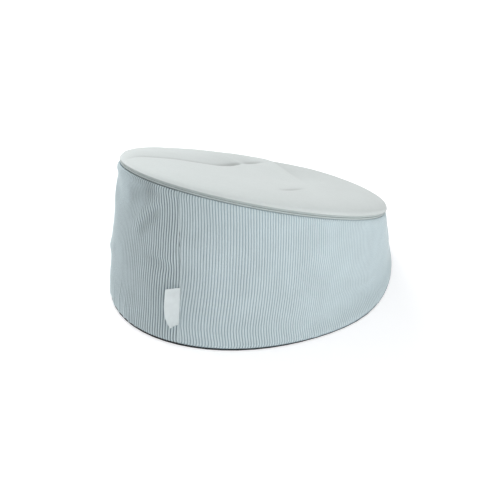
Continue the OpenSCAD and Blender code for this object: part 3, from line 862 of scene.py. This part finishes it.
def inner_side(body, turned, level, inside=0.0, raised=0.0):
    """Points of the liner's side, or of a layer inside it with its foot raised further."""
    out = -(LINER_IN + inside + LINER_HEAD_IN * level ** 4 + LINER_FOOT_IN * (1 - level))
    points = wall(body, turned, level, out)
    puckers = PUCKER_HEIGHT * ripples(points, PUCKER_SIZE, 31)
    points = points + puckers[..., None] * np.sin(np.pi * level)[..., None]
    slope = np.array([0, -math.sin(body.rim_tilt), math.cos(body.rim_tilt)])
    lowered = level[..., None] * (body.band_height / 2 - LINER_SUNK) * slope
    return points + (1 - level)[..., None] * np.array([0, 0, LINER_RAISED + raised]) + lowered


def inner_top(body, look, turned, share_out, edge, inside=0.0, deeper=0.0):
    """Points of the liner's top, or of a layer inside it, with the height of its edge off the rim's plane."""
    radius = body.rim_radius - LINER_IN - LINER_HEAD_IN - inside
    across, along = radius * share_out * np.sin(turned), radius * share_out * np.cos(turned)
    full = np.sqrt(1 - share_out ** look.edge_power)
    hollow = look.hollow_depth * near(np.hypot(across, along - look.hollow_shift), look.hollow_reach)
    rise = body.band_height / 2 + look.rise - (LINER_DEPTH + deeper) - edge
    return on_rim(body, across, along, edge + rise * full - hollow * full ** 2)


def liner_side(body, material):
    """The liner's side: a tube of thin cloth, slightly puckered."""
    bm = rolled_sheet(LINER_COLUMNS, len(SIDE_LEVELS), lambda turned, row: inner_side(
        body, turned, SIDE_LEVELS[row]))
    piece = rolled_piece("liner_side_cloth", bm, "liner_side", material, body.rim_height / 2,
                         LINER_THICK)
    turns = np.linspace(0, 2 * math.pi, LINER_COLUMNS + 1)
    turned, level = np.meshgrid(turns, SIDE_LEVELS)
    rows = inner_side(body, turned, level)


def liner_top(body, look, material):
    """The liner's top: a round of thin cloth under the cover's top."""
    bm = rolled_sheet(LINER_COLUMNS, len(TOP_SHARES), lambda turned, row: inner_top(
        body, look, turned, TOP_SHARES[row], 0.0002 - LINER_SUNK))
    piece = rolled_piece("liner_top_cloth", bm, "liner_top", material, 0, LINER_THICK)


def bead_bag(body, look, material):
    """The beads, which fill the liner, with a channel over the liner's zip."""
    side_row, top_row = len(BASE_SHARES), len(BASE_SHARES) + len(SIDE_LEVELS)

    def place(turned, row):
        foot = inner_side(body, turned, np.zeros(len(turned)), BEADS_IN, BEADS_RAISED)
        on_base, on_top = row < side_row, row >= top_row
        on_side = ~on_base & ~on_top
        points = np.empty((len(turned), 3))
        share_out = BASE_SHARES[row[on_base]]
        points[on_base] = foot[on_base] * np.stack([share_out, share_out, np.ones_like(share_out)], -1)
        level = SIDE_LEVELS[row[on_side] - side_row]
        points[on_side] = inner_side(body, turned[on_side], level, BEADS_IN, BEADS_RAISED)
        share_out = TOP_SHARES[row[on_top] - top_row + 1]
        points[on_top] = inner_top(body, look, turned[on_top], share_out, -LINER_SUNK, BEADS_IN, BEADS_DEEPER)
        channel = on_base & (np.abs(points[:, 0]) < CHANNEL_HALF)
        points[channel, 2] += CHANNEL_DEEP * near(points[channel, 1], CHANNEL_REACH)
        return points

    bm = rolled_sheet(LINER_COLUMNS, top_row + len(TOP_SHARES) - 1, place)
    piece = rolled_piece("bead_bag", bm, "bead_fill", material, body.rim_height / 2)


# Materials


class Shading:
    """A node material with its Principled shader, and short ways to add the nodes that it needs."""

    def __init__(self, name):
        self.material = bpy.data.materials.new(name)
        self.material.use_nodes = True
        self.tree = self.material.node_tree
        self.tree.nodes.clear()
        self.shader = self.add("BsdfPrincipled")
        self.add("OutputMaterial", {"Surface": self.shader.outputs["BSDF"]})

    def put(self, node, inputs):
        """Links or sets inputs of a node, given by name or number."""
        for name, value in inputs.items():
            if isinstance(value, bpy.types.NodeSocket):
                self.tree.links.new(value, node.inputs[name])
            else:
                node.inputs[name].default_value = value

    def add(self, kind, inputs=None, **settings):
        """Adds a node and sets it up."""
        node = self.tree.nodes.new("ShaderNode" + kind)
        for name, value in settings.items():
            setattr(node, name, value)
        self.put(node, inputs or {})
        return node

    def shade(self, **inputs):
        """Links or sets the shader's own inputs."""
        self.put(self.shader, {name.replace("_", " "): value for name, value in inputs.items()})

    def place(self):
        """The place on the object, in metres."""
        return self.add("TexCoord").outputs["Object"]

    def attribute(self, name):
        """A number that the mesh keeps for each vertex."""
        return self.add("Attribute", attribute_name=name).outputs["Fac"]

    def noise(self, place, scale, detail):
        """Uneven patches, about one in each unit of place times the scale."""
        return self.add("TexNoise", {"Vector": place, "Scale": scale, "Detail": detail}).outputs["Fac"]

    def threads(self, place, spacing, uneven, direction):
        """Threads the given distance apart in metres: a wave texture has 10 bands in each pi of its scale."""
        inputs = {"Vector": place, "Scale": math.pi / (10 * spacing), "Distortion": uneven}
        return self.add("TexWave", inputs, wave_type="BANDS", bands_direction=direction).outputs["Fac"]

    def between(self, value, low, high, start=0.0, stop=1.0):
        """A value from start to stop, as one from low to high."""
        return self.add("MapRange", {"Value": value, "From Min": start, "From Max": stop,
                                     "To Min": low, "To Max": high}).outputs["Result"]

    def sum_up(self, operation, *values):
        """Values taken together in order by one operation."""
        total = values[0]
        for value in values[1:]:
            total = self.add("Math", {0: total, 1: value}, operation=operation).outputs["Value"]
        return total

    def ramp(self, factor, stops):
        """Colours along a factor: (place, hex colour) pairs."""
        node = self.add("ValToRGB", {"Fac": factor})
        elements = node.color_ramp.elements
        while len(elements) < len(stops):
            elements.new(0.5)
        for element, (place, colour) in zip(elements, stops):
            element.position = place
            element.color = linear(colour)
        return node.outputs["Color"]

    def toned(self, colour, *tones):
        """The shader's colour: one made lighter or darker by tones round 1."""
        tone = self.sum_up("MULTIPLY", *tones)
        return self.add("VectorMath", {0: colour, "Scale": tone}, operation="SCALE").outputs["Vector"]

    def bump(self, height, strength, distance, **under):
        """A bump of the given depth in metres, over another normal if one is given."""
        inputs = {"Height": height, "Strength": strength, "Distance": distance, **under}
        return self.add("Bump", inputs).outputs["Normal"]


def corduroy_material(look):
    """Cotton corduroy, woven with cut pile: soft, light ribs, with darker ground between them that is partly
    its own colour and partly painted shade, and painted shade along the folds.
    """
    cloth = Shading("corduroy_cut_pile_cotton")
    wale = cloth.attribute("wale")
    # Tufts of pile, about 1 mm across and 4 mm along the rib
    flat = cloth.add("UVMap", uv_map="cloth").outputs["UV"]
    tufts = cloth.add("Mapping", {"Vector": flat, "Scale": (1000.0, 250.0, 1.0)}).outputs["Vector"]
    pile = cloth.noise(tufts, 1.0, 2.0)
    # Ribs light and valleys dark along the rib profile: the valley colour is partly the ground's own colour
    # and partly painted shade
    colour = cloth.ramp(wale, [
        (0.0, look.valley_colour_and_shade), (0.45, look.slope_colour), (0.85, look.ridge_colour)])
    # Bruised pile, in patches of about 40 mm
    patch_tone = cloth.between(cloth.noise(cloth.place(), 25.0, 3.0), 0.965, 1.035, 0.3, 0.7)
    pile_tone = cloth.between(pile, 0.94, 1.05, 0.25, 0.75)
    # Painted shade along the folds of the left panel
    fold_shade_tone = cloth.between(cloth.attribute("flat_pile"), 1.0, 0.76)
    # Painted shade in the valleys between the ribs: darker where the ribs stand open, lighter elsewhere
    valley_shade_lift = cloth.between(cloth.attribute("open"), 0.16, -0.56)
    shown = cloth.sum_up("MULTIPLY", valley_shade_lift, cloth.sum_up("SUBTRACT", 1.0, wale))
    valley_shade_tone = cloth.sum_up("ADD", shown, 1.0)
    cloth.shade(Base_Color=cloth.toned(colour, patch_tone, pile_tone, fold_shade_tone, valley_shade_tone),
                Normal=cloth.bump(pile, 0.35, 0.0004), Roughness=0.92, IOR=1.45, Sheen_Weight=0.35,
                Sheen_Roughness=0.45, Sheen_Tint=linear(look.sheen_colour))
    return cloth.material


def top_material(look):
    """Plain-woven cotton with a brushed face: soft and chalky, with threads that show only close by."""
    cloth = Shading("top_brushed_plain_weave_cotton")
    place = cloth.place()
    # Threads of 0.5 mm are too fine to show, so they are drawn 1 mm apart
    threads = cloth.sum_up("MULTIPLY", *[cloth.threads(place, 0.001, 0.6, direction) for direction in "XY"])
    slubs = cloth.noise(place, 160.0, 4.0)
    wash_tone = cloth.between(cloth.noise(place, 9.0, 3.0), 0.985, 1.015, 0.3, 0.7)
    slub_tone = cloth.between(slubs, 0.985, 1.015, 0.3, 0.7)
    # Painted shade in the creases and a painted shadow along the rolled edge
    crease_shade_tone = cloth.between(cloth.attribute("crease"), 1.0, 0.6)
    fine = cloth.bump(threads, 0.25, 0.0002)
    cloth.shade(Base_Color=cloth.toned(linear(look.colour)[:3], wash_tone, slub_tone, crease_shade_tone),
                Normal=cloth.bump(slubs, 0.2, 0.0006, Normal=fine), Roughness=0.9, IOR=1.45,
                Sheen_Weight=0.2, Sheen_Roughness=0.5)
    return cloth.material


def plain_cloth(name, colour, thread, roughness=0.9, sheen=0.15, bump=0.3):
    """A woven cloth: threads the given distance apart in metres, and a slightly uneven tone."""
    cloth = Shading(name)
    place = cloth.place()
    tone = cloth.between(cloth.noise(place, 60.0, 3.0), 0.94, 1.06, 0.3, 0.7)
    weave = cloth.threads(place, thread, 0.5, "DIAGONAL")
    cloth.shade(Base_Color=cloth.toned(linear(colour)[:3], tone), Normal=cloth.bump(weave, bump, thread / 3),
                Roughness=roughness, IOR=1.45, Sheen_Weight=sheen, Sheen_Roughness=0.5)
    return cloth.material


def drawn_nylon(name, colour):
    """Nylon of a zip's coil, whose turns are 1.2 mm apart."""
    return plain_cloth(name, colour, 0.0012, roughness=0.45, sheen=0.0, bump=0.8)


def coated_metal(look):
    """Zinc alloy, die-cast and lacquered: a smooth satin coat, a little uneven where it wears."""
    metal = Shading("zinc_die_cast_lacquered")
    grain = metal.noise(metal.place(), 900.0, 3.0)
    metal.shade(Roughness=metal.between(grain, 0.28, 0.42), Normal=metal.bump(grain, 0.1, 0.0001),
                Base_Color=linear(look.metal_colour), Metallic=0.6)
    return metal.material


def paint(piece, material):
    """Gives a node that keeps its solid its material."""
    piece.data.materials.clear()
    piece.data.materials.append(material)


# Operators, one for each piece or group of like pieces


class BEANBAG_OT_side_panels(bpy.types.Operator):
    """Make the two corduroy side panels"""
    bl_idname = "beanbag.side_panels"
    bl_label = "Side panels"

    def execute(self, context):
        body, look = context.scene.beanbag_body, context.scene.corduroy_look
        material = corduroy_material(look)
        corduroy_panel("side_panel_left", 1, body, look, material)
        corduroy_panel("side_panel_right", -1, body, look, material)
        return {"FINISHED"}


class BEANBAG_OT_top_panel(bpy.types.Operator):
    """Make the smooth top"""
    bl_idname = "beanbag.top_panel"
    bl_label = "Top"

    def execute(self, context):
        scene = context.scene
        top_panel(scene.beanbag_body, scene.top_look, top_material(scene.top_look))
        return {"FINISHED"}


class BEANBAG_OT_rim_zip(bpy.types.Operator):
    """Make the zip round the rim: tapes, coil, end stops and the sewn bridge"""
    bl_idname = "beanbag.rim_zip"
    bl_label = "Rim zip"

    def execute(self, context):
        scene = context.scene
        body, look = scene.beanbag_body, scene.zip_look
        tape = plain_cloth("zip_tape_woven_polyester", look.tape_colour, 0.0008)
        zip_tape("rim_zip_tape_lower", -1, body, look, tape)
        zip_tape("rim_zip_tape_upper", 1, body, look, tape)
        coil = drawn_nylon("zip_coil_drawn_nylon", look.coil_colour)
        for node in ("rim_zip_coil_lower", "rim_zip_coil_upper"):
            paint(frame["nodes"][node], coil)
        copied("rim_zip_stops", "rim_zip_end_clips", RIM, coated_metal(look), METAL_EDGE)
        cloth = plain_cloth("bridge_brushed_cotton", scene.top_look.colour, 0.001)
        copied("front_bridge", "front_bridge_sewn", RIM, cloth, CLOTH_EDGE)
        return {"FINISHED"}


class BEANBAG_OT_zip_slider(bpy.types.Operator):
    """Make the slider of the rim zip and its pull"""
    bl_idname = "beanbag.zip_slider"
    bl_label = "Zip slider and pull"

    def execute(self, context):
        metal = coated_metal(context.scene.zip_look)
        self.body = context.scene.beanbag_body
        copied("rim_zip_slider", "rim_zip_slider_cast", "rim_slider", metal, FINE_EDGE,
               cuts=1, change=self.taper)
        copied("rim_zip_pull", "rim_zip_pull_tab", "zip_pull", metal, FINE_EDGE,
               cuts=1, change=self.round_tab)
        return {"FINISHED"}

    def taper(self, bm):
        """Narrows the slider's plates towards their tail and rounds their shoulders, as if cast."""
        to_rim = rim_matrix(self.body).inverted()
        places = np.array([to_rim @ vertex.co for vertex in bm.verts])
        turned = np.unwrap(np.arctan2(places[:, 0], places[:, 1]))
        middle = (turned.max() + turned.min()) / 2
        ahead = (turned - middle) / (turned.max() - middle)
        tail = 0.24 * smooth_step((ahead + 0.2) / 1.2)
        shoulders = 0.16 * smooth_step((np.abs(ahead) - 0.7) / 0.3) ** 2
        places[:, 2] *= 1 - tail - shoulders
        from_rim = rim_matrix(self.body)
        for vertex, place in zip(bm.verts, places):
            vertex.co = from_rim @ Vector(place)

    def round_tab(self, bm):
        """Narrows the pull towards its pin and rounds its free end."""
        pin = joint_place("zip_pull_flip")[0]
        places = np.array([vertex.co - pin for vertex in bm.verts])
        middle = places.mean(0)
        # The directions in which it is widest and longest
        wide, long = np.linalg.eigh(np.cov((places - middle).T))[1].T[1:]
        long = long * np.sign(long @ middle)
        along = places @ long
        share_out = along / along.max()
        at_pin = 1 - 0.25 * smooth_step((0.55 - share_out) / 0.4)
        at_end = np.sqrt(np.clip(1 - 0.75 * smooth_step((share_out - 0.84) / 0.16) ** 2, 0, 1))
        offset = (places - middle) @ wide
        places += np.outer(offset * (at_pin * at_end - 1), wide)
        for vertex, place in zip(bm.verts, places):
            vertex.co = pin + Vector(place)


class BEANBAG_OT_side_tag(bpy.types.Operator):
    """Make the blank tag in the back seam"""
    bl_idname = "beanbag.side_tag"
    bl_label = "Side tag"

    def execute(self, context):
        look = context.scene.tag_look
        ribbon_tag(look, plain_cloth("tag_woven_satin_ribbon", look.colour, 0.0007,
                                     roughness=0.6, sheen=0.3, bump=0.15))
        return {"FINISHED"}


class BEANBAG_OT_base_panel(bpy.types.Operator):
    """Make the non-slip base"""
    bl_idname = "beanbag.base_panel"
    bl_label = "Base"

    def execute(self, context):
        cloth = plain_cloth("base_coated_polyester", "#26292C", 0.0012)
        self.body = context.scene.beanbag_body
        flat_copy("base_panel", "base_non_slip", cloth, 0.0009, self.follow_wall)
        return {"FINISHED"}

    def follow_wall(self, bm):
        """Moves the edge of the base to the foot of the wall, where the filling has pushed it out."""
        turned = np.array([math.atan2(vertex.co.x, vertex.co.y) for vertex in bm.verts])
        out = settled(turned, np.zeros(len(turned)))
        half_width, half_depth = self.body.base_width / 2, self.body.base_depth / 2
        for vertex, angle, push in zip(bm.verts, turned, out):
            edge = math.hypot(half_width * math.sin(angle), half_depth * math.cos(angle))
            share_out = math.hypot(vertex.co.x, vertex.co.y) / edge
            vertex.co.x += push * math.sin(angle) * share_out ** 4
            vertex.co.y += push * math.cos(angle) * share_out ** 4


class BEANBAG_OT_liner(bpy.types.Operator):
    """Make the liner with its zip, and the beads inside"""
    bl_idname = "beanbag.liner"
    bl_label = "Liner and beads"

    def execute(self, context):
        cloth = plain_cloth("liner_plain_weave_polycotton", "#ECEBE6", 0.0008)
        body, look = context.scene.beanbag_body, context.scene.top_look
        liner_side(body, cloth)
        liner_top(body, look, cloth)
        for node in ("liner_base_front", "liner_base_rear"):
            flat_copy(node, node + "_cloth", cloth, CLOTH_EDGE, self.draw_in)
        for node in ("liner_zip_tape_front", "liner_zip_tape_rear"):
            copied(node, node + "_cloth", RIM, cloth, CLOTH_EDGE)
        paint(frame["nodes"]["liner_zip_coils"], drawn_nylon("liner_coil_drawn_nylon", "#DADAD6"))
        metal = coated_metal(context.scene.zip_look)
        copied("liner_zip_stops", "liner_zip_end_clips", RIM, metal, METAL_EDGE)
        copied("liner_zip_slider", "liner_zip_slider_cast", "liner_slider", metal, 0.0002)
        bead_bag(body, look, plain_cloth("beads_foamed_polystyrene", "#F2F2F0", 0.004, bump=0.8))
        return {"FINISHED"}

    def draw_in(self, bm):
        """Takes the outer edge of the liner's base in, to the foot of the drawn-in liner."""
        edge_from, in_x, in_y = 0.22, 0.985, 0.987
        for vertex in bm.verts:
            if math.hypot(vertex.co.x, vertex.co.y) > edge_from:
                vertex.co.x *= in_x
                vertex.co.y *= in_y


# Half the side of the floor, and how far below the base it lies
FLOOR_HALF, FLOOR_BELOW = 30, 0.0002

# The lights, named as their power is in StageLook: how far to the right, towards the camera and up from
# the middle of the view, and the side of each, in metres
LIGHTS = {
    "key_light": (2.2, 1.1, 1.5, 2.2),
    "left_light": (-2.4, 0, 0.7, 1.6),
    "top_light": (-0.4, 0, 2.6, 2.6),
    "back_light": (-1.2, -2.0, 1.6, 2.0),
    "front_light": (0.4, 2.6, 0.9, 1.6),
}


class BEANBAG_OT_stage(bpy.types.Operator):
    """Make the floor, the lights and the camera"""
    bl_idname = "beanbag.stage"
    bl_label = "Stage"

    def execute(self, context):
        look = context.scene.stage_look
        bm = bmesh.new()
        bmesh.ops.create_grid(bm, x_segments=2, y_segments=2, size=FLOOR_HALF)
        mesh = bpy.data.meshes.new("floor")
        bm.to_mesh(mesh)
        bm.free()
        floor = bpy.data.objects.new("floor", mesh)
        context.scene.collection.objects.link(floor)
        floor.location.z = -FLOOR_BELOW
        paper = Shading("floor_matt_paper")
        paper.shade(Base_Color=linear(look.floor_colour), Roughness=1.0, Specular_IOR_Level=0.0,
                    Emission_Color=(1, 1, 1, 1), Emission_Strength=look.floor_glow)
        mesh.materials.append(paper.material)
        world = bpy.data.worlds.new("soft_white_room")
        world.use_nodes = True
        background = world.node_tree.nodes["Background"]
        background.inputs["Color"].default_value = (1, 1, 1, 1)
        background.inputs["Strength"].default_value = look.sky_light
        context.scene.world = world
        cosine, sine = math.cos(look.azimuth), math.sin(look.azimuth)
        right = Vector((cosine, sine, 0))
        near_side = Vector((sine, -cosine, 0))
        back = near_side * math.cos(look.elevation) + Vector((0, 0, math.sin(look.elevation)))
        target = Vector(look.target)
        for name, (to_right, to_camera, up, size) in LIGHTS.items():
            place = target + right * to_right + near_side * to_camera + Vector((0, 0, up))
            self.soft_light(name, place, target, size, getattr(look, name))
        camera_data = bpy.data.cameras.new("camera")
        camera_data.lens = look.lens
        camera_data.sensor_width = 36
        camera_data.clip_start, camera_data.clip_end = 0.1, 100
        camera = bpy.data.objects.new("camera", camera_data)
        context.scene.collection.objects.link(camera)
        camera.location = target + back * look.distance
        camera.rotation_euler = (-back).to_track_quat("-Z", "Y").to_euler()
        context.scene.camera = camera
        context.scene.view_settings.view_transform = "Standard"
        return {"FINISHED"}

    def soft_light(self, name, place, target, size, power):
        """A large square light, aimed at the seat."""
        light = bpy.data.lights.new(name, "AREA")
        light.shape = "SQUARE"
        light.size = size
        light.energy = power
        lamp = bpy.data.objects.new(name, light)
        bpy.context.scene.collection.objects.link(lamp)
        lamp.location = place
        lamp.rotation_euler = (target - place).to_track_quat("-Z", "Y").to_euler()


class BEANBAG_PT_maker(bpy.types.Panel):
    """Lists the steps that make the seat"""
    bl_label = "Beanbag"
    bl_idname = "BEANBAG_PT_maker"
    bl_space_type = "VIEW_3D"
    bl_region_type = "UI"
    bl_category = "Beanbag"

    def draw(self, context):
        for operator in OPERATORS:
            self.layout.operator(operator.bl_idname)


GROUPS = {
    "beanbag_body": BeanbagBody,
    "corduroy_look": CorduroyLook,
    "top_look": TopLook,
    "zip_look": ZipLook,
    "tag_look": TagLook,
    "stage_look": StageLook,
}
OPERATORS = [
    BEANBAG_OT_side_panels, BEANBAG_OT_top_panel, BEANBAG_OT_rim_zip, BEANBAG_OT_zip_slider,
    BEANBAG_OT_side_tag, BEANBAG_OT_base_panel, BEANBAG_OT_liner, BEANBAG_OT_stage,
]


def register():
    for name, group in GROUPS.items():
        bpy.utils.register_class(group)
        setattr(bpy.types.Scene, name, PointerProperty(type=group))
    for operator in OPERATORS:
        bpy.utils.register_class(operator)
    bpy.utils.register_class(BEANBAG_PT_maker)


def unregister():
    bpy.utils.unregister_class(BEANBAG_PT_maker)
    for operator in reversed(OPERATORS):
        bpy.utils.unregister_class(operator)
    for name, group in reversed(GROUPS.items()):
        delattr(bpy.types.Scene, name)
        bpy.utils.unregister_class(group)


def main():
    register()
    bpy.ops.beanbag.side_panels()
    bpy.ops.beanbag.top_panel()
    bpy.ops.beanbag.rim_zip()
    bpy.ops.beanbag.zip_slider()
    bpy.ops.beanbag.side_tag()
    bpy.ops.beanbag.base_panel()
    bpy.ops.beanbag.liner()
    bpy.ops.beanbag.stage()


if __name__ == "__main__":
    main()
